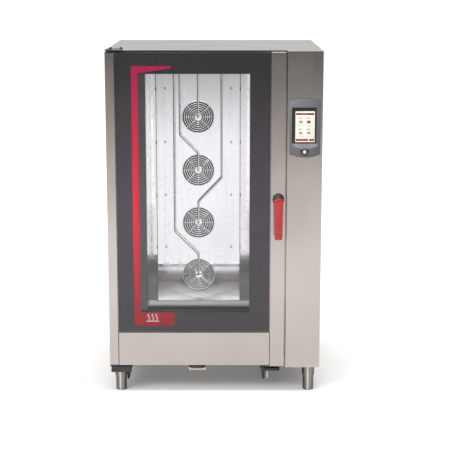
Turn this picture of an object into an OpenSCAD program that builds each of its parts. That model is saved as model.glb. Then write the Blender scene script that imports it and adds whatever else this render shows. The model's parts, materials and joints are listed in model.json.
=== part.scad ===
// Roll-in combi steamer oven, built from separate sub-parts
// Units are millimetres, +Z is up, the door faces -Y, the origin is on the floor under the middle

/* [Body] */
// Width of the body
body_w = 1170; // [1160:5:1200]
// Height from the floor to the roof
body_h = 1900; // [1900:5:1940]
// Depth of the body with its door
body_d = 1000; // [980:5:1050]
// Height of the feet
foot_h = 140; // [136:1:145]
// Thickness of the sheet steel
sheet = 2; // [1.5:0.5:2.5]

/* [Cavity] */
// Inside width of the cooking cavity
cavity_w = 670; // [660:1:675]
// Centre of the cavity across the body
cavity_x = -107; // [-110:1:-105]
// Height of the cavity floor above the ground
cavity_floor_z = 290; // [285:1:295]
// Inside height of the cavity
cavity_h = 1530; // [1520:1:1535]
// Depth of the cavity behind its front plate
cavity_d = 750; // [745:1:755]
// Height of the lowest fan above the ground
fan_first_z = 499; // [495:1:503]
// Distance between two fans
fan_pitch = 321; // [318:1:322]
// Radius of the openings in the fan cover
fan_opening_r = 93; // [88:1:95]
// Radius of the fan wheels
fan_wheel_r = 118; // [114:1:122]
// Width of the fan cover
fan_cover_w = 497; // [490:1:505]
// Depth of the fan space behind its cover
fan_space_d = 130; // [125:1:135]

/* [Door] */
// Thickness of the door
door_t = 64; // [62:1:66]
// Gap between the door and the body, filled by the gasket
door_gap = 16; // [15:1:17]
// Width of the hinge stile
hinge_stile_w = 49; // [48:1:52]
// Width of the handle stile
handle_stile_w = 78; // [74:1:80]
// Height of the kick panel under the glass
kick_h = 194; // [190:1:198]
// Thickness of the outer glass
outer_glass_t = 6; // [5:1:6]
// Radius of the door's hinge pins
hinge_pin_r = 7; // [6:0.5:8]

/* [Handle] */
// Height of the handle above the ground
handle_z = 1097; // [1080:1:1110]
// Length of the lever below the spindle
lever_l = 216; // [200:1:220]
// Width of the lever at its top
lever_top_w = 52; // [48:1:54]
// Width of the lever at its tip
lever_tip_w = 42; // [38:1:44]
// Thickness of the lever
lever_t = 20; // [16:1:22]
// Distance from the door's face to the lever's face
lever_reach = 60; // [58:1:62]

/* [Control column] */
// Width of the control column
column_w = 191; // [188:1:194]
// Width of the bezel around the screen
bezel_w = 168; // [160:1:170]
// Height of the bezel
bezel_h = 319; // [316:1:325]
// Height of the bezel's middle above the ground
bezel_z = 1487.5; // [1470:0.5:1495]
// How far the bezel stands proud
bezel_t = 10; // [9:0.5:11]
// Radius of the selector knob
knob_r = 14.5; // [12:0.5:16]

/* [Feet] */
// Radius of a leg
leg_r = 30; // [26:1:32]
// Radius of the sleeve around a leg
sleeve_r = 35; // [34:1:38]
// Distance of the feet from the sides of the body
foot_inset_x = 59; // [55:1:65]
// Distance of the front feet from the door's face
front_foot_inset = 48; // [44:1:50]
// Distance of the rear feet from the back
rear_foot_inset = 60; // [55:1:70]

/* [Connections] */
// Outer radius of the drain pipe
drain_r = 25; // [23:1:26]
// Outer radius of the exhaust pipe
exhaust_r = 30; // [28:1:31]
// Outer radius of the water inlet's stub
inlet_r = 13.2; // [12:0.1:14]
// Radius of the hole in the cable gland
gland_bore_r = 10; // [8:0.5:11]
// How far the pipes stand out of the back
pipe_reach = 60; // [55:1:65]

/* [Hidden] */
$fn = 48;
clearance = 0.05;

front_y = -body_d / 2;
back_y = body_d / 2;
left_x = -body_w / 2;
right_x = body_w / 2;
door_back_y = front_y + door_t;
plate_y = door_back_y + door_gap;
base_h = 52;
rail_w = 40;
base_top = foot_h + base_h;
roof_z = body_h - sheet;

column_x = [right_x - column_w, right_x];
door_x = [left_x, column_x[0] - 9];
door_z = [foot_h + 7, body_h - 7];
cap_h = 8;
hinge_stile_x = [door_x[0], door_x[0] + hinge_stile_w];
handle_stile_x = [door_x[1] - handle_stile_w, door_x[1]];
infill_x = [hinge_stile_x[1] + 3, handle_stile_x[0] - 3];
kick_z = [door_z[0] + 6, door_z[0] + kick_h];
glass_z = [kick_z[1] + 3, door_z[1] - 2];
hinge_x = left_x + 25;
hinge_y = (front_y + door_back_y) / 2;

cavity_wall_x = [cavity_x - cavity_w / 2, cavity_x + cavity_w / 2];
cavity_y = [plate_y + 3, plate_y + 3 + cavity_d - 3];
cavity_z = [cavity_floor_z, cavity_floor_z + cavity_h];
cover_y = cavity_y[1] - fan_space_d;
fan_count = 4;
fan_z = [for (i = [0 : fan_count - 1]) fan_first_z + i * fan_pitch];

window_x = [cavity_x - 301, cavity_x + 299];
window_z = [kick_z[1] + 132, door_z[1] - 115];
mask_y = [front_y + outer_glass_t, front_y + outer_glass_t + 1];
trim_x = [window_x[0] - 37, window_x[0] - 3];
trim_z = [window_z[0] - 95, window_z[1] + 42];
trim_block_x = window_x[0] + 190;
trim_block_z = window_z[0] - 13;
trim_top_x = window_x[0] + 177;

pane_t = 6;
pane_y = [door_back_y - 10, door_back_y - 4];
pane_x = [window_x[0] - 6, window_x[1] + 6];
pane_z = [window_z[0] + 13, window_z[1] + 6];
rail_side = 3;
pane_rail_h = 26;
pane_pin_x = pane_x[0] + 6;
pane_pin_y = (pane_y[0] + pane_y[1]) / 2;
pane_pin_r = 3;
frame_hole_x = [pane_x[0] - 8, pane_x[1] + 8];
frame_hole_z = [pane_z[0] - 8, pane_z[1] + 24];

handle_x = handle_stile_x[0] + 42;
spindle_r = 7;
rosette_r = 31.6;
rosette_t = 8;
lever_y = [front_y - lever_reach, front_y - lever_reach + lever_t];
hook_y = [door_back_y + 3, door_back_y + 11];
hook_r = 34;
hook_hub_r = 10;
hook_half_h = 8;
keeper_gap = 3;

bezel_x = column_x[1] - 12 - bezel_w / 2;
bezel_arch_top = 11;
bezel_arch_foot = 18;
screen_x = [bezel_x - 71, bezel_x + 61];
screen_z = [bezel_z - 82.5, bezel_z + 112];
display_x = [bezel_x - 53, bezel_x + 52];
display_z = [bezel_z - 75.5, bezel_z + 92.5];
knob_x = bezel_x - 2;
knob_z = bezel_z - 126;
knob_y = [front_y - 28, front_y - 12];
knob_bore_l = 8.5;
recess_r = 24;
recess_t = 6;
encoder_r = 5.5;
board_y = front_y + 22;

guide_x = cavity_w / 2 + 31;
guide_w = 24;
guide_y = [plate_y + 5, 200];
guide_z = foot_h - 56;
guide_nose_z = foot_h - 102;
guide_bar_z = [foot_h - 49, foot_h - 34];
guide_flange_w = 90;
brace_l = 40;
guide_top = foot_h + sheet;
bracket_z = [foot_h - 4, foot_h + 4];
sleeve_z = foot_h - 54;

drain_y = (cavity_y[0] + cavity_y[1]) / 2;
drain_z = base_top + 8 + drain_r;
pan_depth = 18;
exhaust_x = cavity_x + 150;
exhaust_y = 120;
exhaust_z = cavity_z[1] + 38;
inlet_x = -420;
inlet_z = 320;
gland_x = 480;
gland_z = 260;

steel = [0.72, 0.71, 0.69];
dark_steel = [0.35, 0.35, 0.36];
polished = [0.85, 0.85, 0.85];
black = [0.1, 0.1, 0.1];
red = [0.72, 0.18, 0.2];
bezel_grey = [0.48, 0.49, 0.5];
wool = [0.85, 0.8, 0.6];
clear_glass = [0.6, 0.7, 0.7, 0.35];

// Box between two limits along each axis
module span(x, y, z) {
    translate([x[0], y[0], z[0]])
        cube([x[1] - x[0], y[1] - y[0], z[1] - z[0]]);
}

// Outline drawn as x and z, extruded from y[0] to y[1]
module upright(y) {
    translate([0, y[1], 0])
        rotate([90, 0, 0])
            linear_extrude(y[1] - y[0])
                children();
}

// Round bar along Y through the point [x, z]
module bar_y(x, z, r, y) {
    upright(y)
        translate([x, z])
            circle(r);
}

// Rectangle between limits, in the plane of an outline
module area(x, z) {
    translate([x[0], z[0]])
        square([x[1] - x[0], z[1] - z[0]]);
}

// Rectangle with round corners
module round_area(x, z, r) {
    area([x[0] + r, x[1] - r], z);
    area(x, [z[0] + r, z[1] - r]);
    for (cx = [x[0] + r, x[1] - r], cz = [z[0] + r, z[1] - r])
        translate([cx, cz])
            circle(r);
}

// Flat ring around a rectangular hole
module ring_area(x, z, hole_x, hole_z) {
    difference() {
        area(x, z);
        area(hole_x, hole_z);
    }
}

// Straight round bar from one point to another
module bar_between(a, b, r) {
    v = b - a;
    translate(a)
        rotate([0, acos(v.z / norm(v)), atan2(v.y, v.x)])
            cylinder(h = norm(v), r = r);
}

// Round bar along a chain of points, with a ball at each bend
module bar_chain(points, r) {
    for (i = [0 : len(points) - 2])
        bar_between(points[i], points[i + 1], r);
    for (i = [1 : len(points) - 2])
        translate(points[i])
            sphere(r);
}

// Pipe with one square bend, going down or up from the cavity and then out of the back through a collar
module bent_outlet(x, y, z, start_z, r, wall) {
    end_y = back_y + pipe_reach;
    over = z > start_z ? -1 : 1;
    collar = 4;
    difference() {
        union() {
            bar_chain([[x, y, start_z], [x, y, z], [x, end_y, z]], r);
            bar_y(x, z, r + collar, [back_y, back_y + 6]);
        }
        bar_chain([[x, y, start_z + over], [x, y, z], [x, end_y + 1, z]], r - wall);
    }
}

// ---------- base and feet ----------

// Rails of the base, inset on the sides and the top, and opened below by the same amount
module base_rails(inset) {
    long_x = [left_x + sheet, cavity_wall_x[0] - rail_w / 2, cavity_wall_x[1] - rail_w / 2,
        right_x - sheet - rail_w];
    cross_y = [plate_y, back_y - sheet - rail_w];
    guide_rail_y = guide_y[1] - brace_l;
    z = [foot_h + sheet - inset, base_top - inset];
    for (x = long_x)
        span([x + inset, x + rail_w - inset], [plate_y + inset, back_y - sheet - inset], z);
    for (y = cross_y)
        span([left_x + sheet + inset, right_x - sheet - inset], [y + inset, y + rail_w - inset], z);
    for (bay = [[long_x[0], long_x[1]], [long_x[2], long_x[3]]])
        span([bay[0] + rail_w - 2 * inset, bay[1] + 2 * inset],
            [guide_rail_y + inset, guide_rail_y + brace_l - inset], z);
}

// Frame of channels that are open below, with plates over the rear feet and an arm to the right front foot
module base_frame() {
    wall = 3;
    arm_x = [foot_x()[1] - sleeve_r, foot_x()[1] + sleeve_r];
    color(dark_steel) {
        difference() {
            base_rails(0);
            base_rails(wall);
        }
        for (x = foot_x())
            span([x - sleeve_r, x + sleeve_r], [foot_y()[1] - sleeve_r, foot_y()[1] + sleeve_r],
                [foot_h, foot_h + sheet]);
        span(arm_x, [foot_y()[0] - sleeve_r + 7, plate_y + rail_w], [bracket_z[0], foot_h]);
        span(arm_x, [plate_y, plate_y + rail_w], [bracket_z[0], foot_h + sheet + 1]);
    }
}

function foot_x() = [left_x + foot_inset_x, right_x - foot_inset_x];
function foot_y() = [front_y + front_foot_inset, back_y - rear_foot_inset];
function sleeve_top() = [bracket_z[0], foot_h];

module foot_sleeves() {
    cap = 6;
    color(steel)
        for (x = foot_x(), i = [0, 1])
            translate([x, foot_y()[i], sleeve_z])
                difference() {
                    cylinder(h = sleeve_top()[i] - sleeve_z, r = sleeve_r);
                    translate([0, 0, -1])
                        cylinder(h = sleeve_top()[i] - sleeve_z - cap + 1, r = leg_r + clearance);
                }
}

// Leg with a rounded lower edge
module foot_leg(x, y) {
    edge_r = 5;
    leg_l = foot_h - 12;
    color(steel)
        translate([x, y, 0])
            rotate_extrude()
                union() {
                    translate([0, edge_r])
                        square([leg_r, leg_l - edge_r]);
                    square([leg_r - edge_r, leg_l]);
                    intersection() {
                        translate([leg_r - edge_r, edge_r])
                            circle(edge_r);
                        square([leg_r, leg_l]);
                    }
                }
}

module foot_leg_front_left() {
    foot_leg(foot_x()[0], foot_y()[0]);
}

module foot_leg_front_right() {
    foot_leg(foot_x()[1], foot_y()[0]);
}

module foot_leg_rear_left() {
    foot_leg(foot_x()[0], foot_y()[1]);
}

module foot_leg_rear_right() {
    foot_leg(foot_x()[1], foot_y()[1]);
}

// Rail that steers the legs of a trolley, side is -1 for left and 1 for right
module trolley_guide(side) {
    inner_x = cavity_x + side * guide_x;
    outer_x = cavity_x + side * (guide_x + guide_flange_w);
    rail_outer_x = inner_x + side * guide_w;
    brace_h = 24;
    nose_l = 60;
    bar_x = rail_outer_x + side * 84;
    span([min(inner_x, rail_outer_x), max(inner_x, rail_outer_x)], [guide_y[0] + nose_l, guide_y[1]],
        [guide_z, guide_top]);
    for (y = [guide_y[0], guide_y[1] - brace_l])
        span([min(inner_x, outer_x), max(inner_x, outer_x)], [y, y + brace_l],
            [guide_top - brace_h, guide_top]);
    span([min(rail_outer_x, bar_x), max(rail_outer_x, bar_x)], [guide_y[0], guide_y[0] + 30],
        guide_bar_z);
    upright([guide_y[0], guide_y[0] + nose_l])
        polygon([[inner_x, guide_top], [rail_outer_x, guide_top], [rail_outer_x, guide_nose_z + 14],
            [rail_outer_x - side * 3, guide_nose_z], [inner_x + side * 9, guide_nose_z + 11]]);
}

module trolley_guides() {
    color(black)
        for (side = [-1, 1])
            trolley_guide(side);
}

module guide_pins() {
    pin_r = 7.5;
    pin_l = 46;
    color("white")
        for (side = [-1, 1])
            translate([cavity_x + side * (guide_x + guide_w + pin_r + 5), guide_y[0] + 15,
                guide_bar_z[0] - pin_l])
                cylinder(h = pin_l, r = pin_r);
}

// ---------- outer panels ----------

module side_panel(x_out, side) {
    lip = 16;
    x_in = x_out - side * sheet;
    x_lip = x_out - side * lip;
    color(steel) {
        span([min(x_out, x_in), max(x_out, x_in)], [plate_y, back_y], [foot_h, roof_z]);
        span([min(x_out, x_lip), max(x_out, x_lip)], [plate_y, back_y], [foot_h, foot_h + sheet]);
    }
}

module left_side_panel() {
    side_panel(left_x, -1);
}

module right_side_panel() {
    side_panel(right_x, 1);
}

module top_panel() {
    color(steel) {
        span([left_x, right_x], [plate_y, back_y], [roof_z, body_h]);
        span(column_x, [front_y, plate_y], [roof_z, body_h]);
    }
}

module back_panel() {
    slot_w = 130;
    slot_h = 8;
    slot_pitch = 24;
    vents_x = [-400, 400];
    vents_z = [1400, 700];
    color(steel)
        difference() {
            upright([back_y - sheet, back_y])
                area([left_x + sheet, right_x - sheet], [foot_h + sheet, roof_z]);
            bar_y(cavity_x, drain_z, drain_r + 1, [back_y - 10, back_y + 10]);
            bar_y(exhaust_x, exhaust_z, exhaust_r + 1, [back_y - 10, back_y + 10]);
            bar_y(inlet_x, inlet_z, inlet_r + 1, [back_y - 10, back_y + 10]);
            bar_y(gland_x, gland_z, 16, [back_y - 10, back_y + 10]);
            for (x = vents_x, z = vents_z, i = [0 : 7])
                span([x - slot_w / 2, x + slot_w / 2], [back_y - 10, back_y + 10],
                    [z + i * slot_pitch, z + i * slot_pitch + slot_h]);
        }
}

module column_front() {
    margin = 7;
    color(steel)
        difference() {
            span(column_x, [front_y, plate_y], [foot_h, roof_z]);
            span([column_x[0] + sheet, column_x[1] - sheet], [front_y + sheet, plate_y + 1],
                [foot_h + sheet, roof_z - sheet]);
            span([bezel_x - bezel_w / 2 + margin, bezel_x + bezel_w / 2 - margin],
                [front_y - 1, front_y + 10],
                [bezel_z - bezel_h / 2 + margin + 10, bezel_z + bezel_h / 2 - margin - 3]);
        }
}

// ---------- cavity ----------

// Four strips around the cavity's opening, butted with a narrow seam
module cavity_front_plate() {
    seam = 0.2;
    plate_x = [left_x + sheet, column_x[0]];
    color(polished)
        upright([plate_y, plate_y + 3]) {
            area([plate_x[0], cavity_wall_x[0]], [base_top, roof_z]);
            area([cavity_wall_x[1], plate_x[1]], [base_top, roof_z]);
            for (z = [[base_top, cavity_z[0]], [cavity_z[1], roof_z]])
                area([cavity_wall_x[0] + seam, cavity_wall_x[1] - seam], z);
        }
}

module door_gasket() {
    reach = 36;
    lip = 12;
    color(black)
        upright([door_back_y, plate_y])
            difference() {
                round_area([cavity_wall_x[0] - reach, cavity_wall_x[1] + reach],
                    [cavity_z[0] - reach, cavity_z[1] + reach], 30);
                round_area([cavity_wall_x[0] - lip, cavity_wall_x[1] + lip],
                    [cavity_z[0] - lip, cavity_z[1] + lip], 12);
            }
}

module cavity_left_wall() {
    color(polished)
        span([cavity_wall_x[0] - sheet, cavity_wall_x[0]], cavity_y, [base_top, cavity_z[1]]);
}

module cavity_right_wall() {
    color(polished)
        span([cavity_wall_x[1], cavity_wall_x[1] + sheet], cavity_y, [base_top, cavity_z[1]]);
}

module cavity_ceiling() {
    color(polished)
        difference() {
            span([cavity_wall_x[0] - sheet, cavity_wall_x[1] + sheet], cavity_y,
                [cavity_z[1], cavity_z[1] + sheet]);
            translate([exhaust_x, exhaust_y, cavity_z[1] - 1])
                cylinder(h = sheet + 2, r = exhaust_r - sheet);
        }
}

module cavity_back_wall() {
    color(polished)
        difference() {
            span(cavity_wall_x, [cavity_y[1], cavity_y[1] + sheet], cavity_z);
            for (z = fan_z)
                bar_y(cavity_x + 5, z, 14, [cavity_y[1] - 1, cavity_y[1] + sheet + 1]);
        }
}

// Floor pan that falls from all four sides to the drain
module cavity_floor() {
    fall = 0.1;
    size = [cavity_w, cavity_y[1] - cavity_y[0]];
    rim = 4;
    color(polished)
        translate([cavity_x, drain_y, cavity_floor_z])
            difference() {
                mirror([0, 0, 1])
                    linear_extrude(pan_depth + sheet, scale = fall)
                        square(size, center = true);
                translate([0, 0, 0.01])
                    mirror([0, 0, 1])
                        linear_extrude(pan_depth, scale = fall)
                            square([size.x - 2 * rim, size.y - 2 * rim], center = true);
                translate([0, 0, -pan_depth - 10])
                    cylinder(h = 20, r = drain_r - sheet);
            }
}

module insulation() {
    wool_t = 40;
    slab_y = [plate_y + 5, cavity_y[1]];
    color(wool) {
        span([cavity_wall_x[0] - sheet - wool_t, cavity_wall_x[0] - sheet], slab_y,
            [base_top, cavity_z[1]]);
        span([cavity_wall_x[1] + sheet, cavity_wall_x[1] + sheet + wool_t], slab_y,
            [base_top, cavity_z[1]]);
        span(cavity_wall_x, [slab_y[0], exhaust_y - exhaust_r - 20],
            [cavity_z[1] + sheet, cavity_z[1] + sheet + wool_t]);
    }
}

// ---------- fans and heating ----------

fan_x = cavity_x + 5;
cover_z = [fan_z[0] - 179, fan_z[fan_count - 1] + 300];
screw_dx = 197;
screw_dz = 171;

module fan_cover() {
    cover_x = [fan_x - fan_cover_w / 2, fan_x + fan_cover_w / 2];
    flange = 32;
    color(polished) {
        difference() {
            span(cover_x, [cover_y, cover_y + sheet], cover_z);
            for (z = fan_z)
                bar_y(fan_x, z, fan_opening_r, [cover_y - 1, cover_y + sheet + 1]);
            for (z = fan_z, side = [-1, 1])
                bar_y(fan_x + side * screw_dx, z + screw_dz, 4 + clearance,
                    [cover_y - 1, cover_y + sheet + 1]);
        }
        span([cover_x[0], cover_x[0] + sheet], [cover_y, cover_y + flange], cover_z);
        span([cover_x[1] - sheet, cover_x[1]], [cover_y, cover_y + flange], cover_z);
    }
}

// Guard of wire rings and spokes in front of a fan opening
module grille_outline() {
    wire = 3;
    for (r = [28 : 16 : fan_opening_r - 10])
        difference() {
            circle(r + wire / 2);
            circle(r - wire / 2);
        }
    difference() {
        circle(fan_opening_r + 6);
        circle(fan_opening_r - 1);
    }
    for (a = [0 : 45 : 315])
        rotate(a)
            translate([10, -wire / 2])
                square([fan_opening_r - 8, wire]);
    circle(14);
}

module fan_grilles() {
    color(polished)
        for (z = fan_z)
            upright([cover_y - 3, cover_y])
                translate([fan_x, z])
                    grille_outline();
}

module fan_cover_screws() {
    color(steel)
        for (z = fan_z, side = [-1, 1]) {
            x = fan_x + side * screw_dx;
            bar_y(x, z + screw_dz, 8, [cover_y - 5, cover_y]);
            bar_y(x, z + screw_dz, 4, [cover_y - 1, cover_y + sheet + 1]);
            bar_y(x, z + screw_dz, 7, [cover_y + sheet, cavity_y[1]]);
        }
}

// Sideways offset of each pipe, and the heights above its fan where it leans in and straightens
pipe_dx = [-142, 140, -108, 0];
pipe_upper = [273, 277, 217, 0];
pipe_lower = [130, 130, 107, 0];
pipe_r = 6.5;
pipe_bend_r = 30;
nozzle_bend_r = 14;
pipe_lap = 1;
pipe_y = cover_y - 20;

// Part of a round ring that starts on +X and turns towards +Y, a little thicker than the pipe
module elbow(bend_r, angle) {
    rotate_extrude(angle = angle)
        translate([bend_r, 0])
            circle(pipe_r + 0.4);
}

// Straight length of pipe that laps into the bend at each end
module straight_run(a, b) {
    lap = pipe_lap * (b - a) / norm(b - a);
    bar_between(a - lap, b + lap, pipe_r);
}

// Leaning part of a pipe that comes down at x = -dx and ends over its fan
module leaning_run(dx, upper, lower, top) {
    lean = atan2(dx, upper - lower);
    run = pipe_bend_r * tan(lean / 2);
    step = run * [sin(lean), 0, -cos(lean)];
    straight_run([-dx, 0, upper + run], [-dx, 0, top - pipe_lap]);
    translate([pipe_bend_r - dx, 0, upper + run])
        rotate([-90, 0, 180])
            elbow(pipe_bend_r, lean);
    straight_run([-dx, 0, upper] + step, [0, 0, lower] - step);
    translate([-pipe_bend_r, 0, lower - run])
        rotate([90, 0, 0])
            elbow(pipe_bend_r, lean);
    straight_run([0, 0, nozzle_bend_r], [0, 0, lower - run]);
}

module water_pipe(i) {
    top = cavity_z[1] - fan_z[i] - clearance;
    translate([fan_x, pipe_y, fan_z[i]])
        mirror([pipe_dx[i] > 0 ? 1 : 0, 0, 0])
            union() {
                if (pipe_dx[i] == 0)
                    straight_run([0, 0, nozzle_bend_r], [0, 0, top - pipe_lap]);
                else
                    leaning_run(abs(pipe_dx[i]), pipe_upper[i], pipe_lower[i], top);
                translate([0, nozzle_bend_r, nozzle_bend_r])
                    mirror([0, 1, 0])
                        rotate([0, 90, 0])
                            elbow(nozzle_bend_r, 90);
                straight_run([0, nozzle_bend_r, 0], [0, cover_y - 3 - pipe_lap - pipe_y, 0]);
            }
}

module water_pipes() {
    color(dark_steel)
        for (i = [0 : fan_count - 1])
            water_pipe(i);
}

module heating_elements() {
    ring_r = 146;
    tube_r = 4.25;
    rings_y = [cover_y + 25, cover_y + 50, cover_y + 75];
    color(dark_steel)
        for (z = fan_z) {
            for (y = rings_y)
                translate([fan_x, y, z])
                    rotate([90, 0, 0])
                        rotate_extrude()
                            translate([ring_r, 0])
                                circle(tube_r);
            for (side = [-1, 1])
                bar_y(fan_x + side * ring_r, z, tube_r - 0.5, [rings_y[0], cavity_y[1]]);
        }
}

shaft_r = 8;

module fan_wheel(z) {
    blades = 12;
    wheel_y = [cover_y + 32, cover_y + 98];
    color(polished)
        union() {
            bar_y(fan_x, z, fan_wheel_r, [wheel_y[1] - 3, wheel_y[1]]);
            bar_y(fan_x, z, 29, [wheel_y[0] + 4, wheel_y[1]]);
            bar_y(fan_x, z, shaft_r, [wheel_y[1], cavity_y[1] + sheet + 20]);
            upright(wheel_y)
                translate([fan_x, z])
                    for (a = [0 : 360 / blades : 359])
                        rotate(a)
                            translate([fan_wheel_r / 2, 0])
                                rotate(25)
                                    square([fan_wheel_r / 2 - 4, 2.5]);
        }
}

module fan_wheel_1() {
    fan_wheel(fan_z[0]);
}

module fan_wheel_2() {
    fan_wheel(fan_z[1]);
}

module fan_wheel_3() {
    fan_wheel(fan_z[2]);
}

module fan_wheel_4() {
    fan_wheel(fan_z[3]);
}

module fan_motors() {
    flange_y = cavity_y[1] + sheet;
    color(dark_steel)
        for (z = fan_z)
            difference() {
                union() {
                    bar_y(fan_x, z, 72, [flange_y, flange_y + 6]);
                    bar_y(fan_x, z, 60, [flange_y + 6, flange_y + 110]);
                    bar_y(fan_x, z, 48, [flange_y + 110, flange_y + 130]);
                    span([fan_x + 50, fan_x + 84], [flange_y + 30, flange_y + 90], [z - 30, z + 30]);
                }
                bar_y(fan_x, z, shaft_r + clearance, [flange_y - 1, flange_y + 22]);
            }
}

// ---------- control column ----------

// Radius of an arc over the bezel's width with a given rise
function arch_radius(rise) = (pow(bezel_w / 2, 2) + pow(rise, 2)) / (2 * rise);

// Bezel outline with arched top and bottom edges
module bezel_outline() {
    top_r = arch_radius(bezel_arch_top);
    foot_r = arch_radius(bezel_arch_foot);
    intersection() {
        square([bezel_w, bezel_h], center = true);
        translate([0, bezel_h / 2 - top_r])
            circle(top_r, $fn = 180);
        translate([0, foot_r - bezel_h / 2])
            circle(foot_r, $fn = 180);
    }
}

module control_bezel() {
    edge = 12;
    stub_wall = 3;
    stub_y = [front_y, front_y + 30];
    color(bezel_grey)
        difference() {
            union() {
                upright([front_y - bezel_t, front_y])
                    translate([bezel_x, bezel_z])
                        bezel_outline();
                upright(stub_y)
                    difference() {
                        area([bezel_x - bezel_w / 2 + edge, bezel_x + bezel_w / 2 - edge],
                            [bezel_z - bezel_h / 2 + edge + 8, bezel_z + bezel_h / 2 - edge - 3]);
                        area([bezel_x - bezel_w / 2 + edge + stub_wall,
                            bezel_x + bezel_w / 2 - edge - stub_wall],
                            [bezel_z - bezel_h / 2 + edge + 11, bezel_z + bezel_h / 2 - edge - 6]);
                    }
            }
            span(screen_x, [front_y - bezel_t - 1, front_y - 4], screen_z);
            span([display_x[0] - 1, display_x[1] + 1], [front_y - 5, front_y + 1],
                [display_z[0] - 1, display_z[1] + 1]);
            bar_y(knob_x, knob_z, recess_r, [front_y - bezel_t - 1, front_y - bezel_t + recess_t]);
            bar_y(knob_x, knob_z, encoder_r + clearance, [front_y - bezel_t, front_y + 1]);
        }
}

module screen_glass() {
    fit = 0.5;
    color(black)
        span([screen_x[0] + fit, screen_x[1] - fit], [front_y - bezel_t + fit, front_y - 4],
            [screen_z[0] + fit, screen_z[1] - fit]);
}

module display_module() {
    color([0.85, 0.83, 0.76])
        difference() {
            union() {
                span(display_x, [front_y - 4, board_y], display_z);
                span([display_x[0] - 6, display_x[1] + 6], [board_y, board_y + 2],
                    [knob_z - 10, display_z[1] + 20]);
                span([knob_x - 12, knob_x + 12], [front_y + 0.5, board_y], [knob_z - 10, knob_z + 10]);
            }
            bar_y(knob_x, knob_z, encoder_r + clearance, [front_y - 1, board_y]);
        }
}

module encoder_shaft() {
    color(steel)
        bar_y(knob_x, knob_z, encoder_r, [knob_y[1] - knob_bore_l + 0.5, front_y + 18]);
}

// Cap with a blind bore that turns on the end of the encoder shaft
module selector_knob() {
    color(polished)
        difference() {
            bar_y(knob_x, knob_z, knob_r, knob_y);
            bar_y(knob_x, knob_z, encoder_r + clearance, [knob_y[1] - knob_bore_l, knob_y[1] + 1]);
        }
}

module electrical_plate() {
    plate_x = right_x - 16;
    color(steel) {
        span([plate_x, plate_x + sheet], [-300, 220], [400, 1200]);
        for (y = [-280, 200], z = [430, 1170])
            translate([plate_x + sheet, y, z])
                rotate([0, 90, 0])
                    cylinder(h = 16 - 2 * sheet, r = 6);
    }
}

module contactors() {
    plate_x = right_x - 16;
    size = [80, 45, 85];
    color(black) {
        for (row = [0 : 1], i = [0 : 5])
            translate([plate_x - size.x, -270 + i * (size.y + 8), 1040 - row * 200])
                cube(size);
        translate([plate_x - 40, -270, 500])
            cube([40, 420, 45]);
    }
}

// ---------- door ----------

module door_hinge_stile() {
    color(steel)
        difference() {
            span(hinge_stile_x, [front_y, door_back_y], [door_z[0] + cap_h, door_z[1] - cap_h]);
            span([hinge_stile_x[0] + sheet, hinge_stile_x[1] - sheet],
                [front_y + sheet, door_back_y - sheet], [door_z[0], door_z[1]]);
        }
}

module hinge_bushes() {
    color(black)
        for (z = [door_z[0], door_z[1] - cap_h])
            difference() {
                span(hinge_stile_x, [front_y, door_back_y], [z, z + cap_h]);
                translate([hinge_x, hinge_y, z - 1])
                    cylinder(h = cap_h + 2, r = hinge_pin_r + clearance);
            }
}

module door_handle_stile() {
    color(steel)
        difference() {
            span(handle_stile_x, [front_y, door_back_y], door_z);
            span([handle_stile_x[0] + sheet, handle_stile_x[1] - sheet],
                [front_y + sheet, door_back_y - sheet], [door_z[0] - 1, door_z[1] - sheet]);
            bar_y(handle_x, handle_z, spindle_r + clearance, [front_y - 1, door_back_y + 1]);
        }
}

module door_kick_panel() {
    color(steel)
        difference() {
            span(infill_x, [front_y, door_back_y], kick_z);
            span([infill_x[0] - 1, infill_x[1] + 1], [front_y + sheet, door_back_y - sheet],
                [kick_z[0] + sheet, kick_z[1] - sheet]);
        }
}

// Tray behind the glass: a back plate with a window, a flange all round, and two pivot lugs
module door_inner_frame() {
    frame_x = [infill_x[0] - 1, infill_x[1] + 1];
    frame_z = [kick_z[1] + 2, door_z[1] - 1];
    lug_x = [pane_pin_x - 8, pane_pin_x + 8];
    lug_y = [pane_pin_y - 7, door_back_y];
    lug_h = 14;
    color(polished)
        difference() {
            union() {
                upright([door_back_y - 4, door_back_y])
                    ring_area(frame_x, frame_z, frame_hole_x, frame_hole_z);
                upright([mask_y[1], door_back_y - 4])
                    ring_area(frame_x, frame_z, [frame_x[0] + sheet, frame_x[1] - sheet],
                        [frame_z[0] + sheet, frame_z[1] - sheet]);
                span(lug_x, lug_y, [frame_hole_z[0] - lug_h, frame_hole_z[0]]);
                span(lug_x, lug_y, [frame_hole_z[1], frame_hole_z[1] + lug_h]);
            }
            translate([pane_pin_x, pane_pin_y, frame_hole_z[0] - lug_h - 1])
                cylinder(h = lug_h + 2, r = pane_pin_r + clearance);
            translate([pane_pin_x, pane_pin_y, frame_hole_z[1] - 1])
                cylinder(h = lug_h + 2, r = pane_pin_r + clearance);
        }
}

module outer_glass() {
    color(clear_glass)
        upright([front_y, mask_y[0]])
            area(infill_x, [glass_z[0], door_z[1]]);
}

// Band along the hinge side with a block at its foot and an arm along the top
module trim_outline() {
    round_area([trim_x[0], trim_block_x], [trim_z[0], trim_block_z], 30);
    area([trim_x[0], trim_x[0] + 100], [trim_z[0], trim_z[0] + 40]);
    area([trim_x[0], trim_x[1]], [trim_z[0], trim_z[1]]);
    polygon([[trim_x[0], trim_z[1]], [trim_x[0], window_z[1]], [trim_x[1], window_z[1] + 3],
        [trim_top_x, trim_z[1] - 11], [trim_top_x, trim_z[1]]]);
}

module red_trim() {
    color(red)
        upright(mask_y)
            trim_outline();
}

module glass_border() {
    color(black)
        upright(mask_y)
            difference() {
                ring_area(infill_x, [glass_z[0], door_z[1]], window_x, window_z);
                trim_outline();
            }
}

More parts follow.
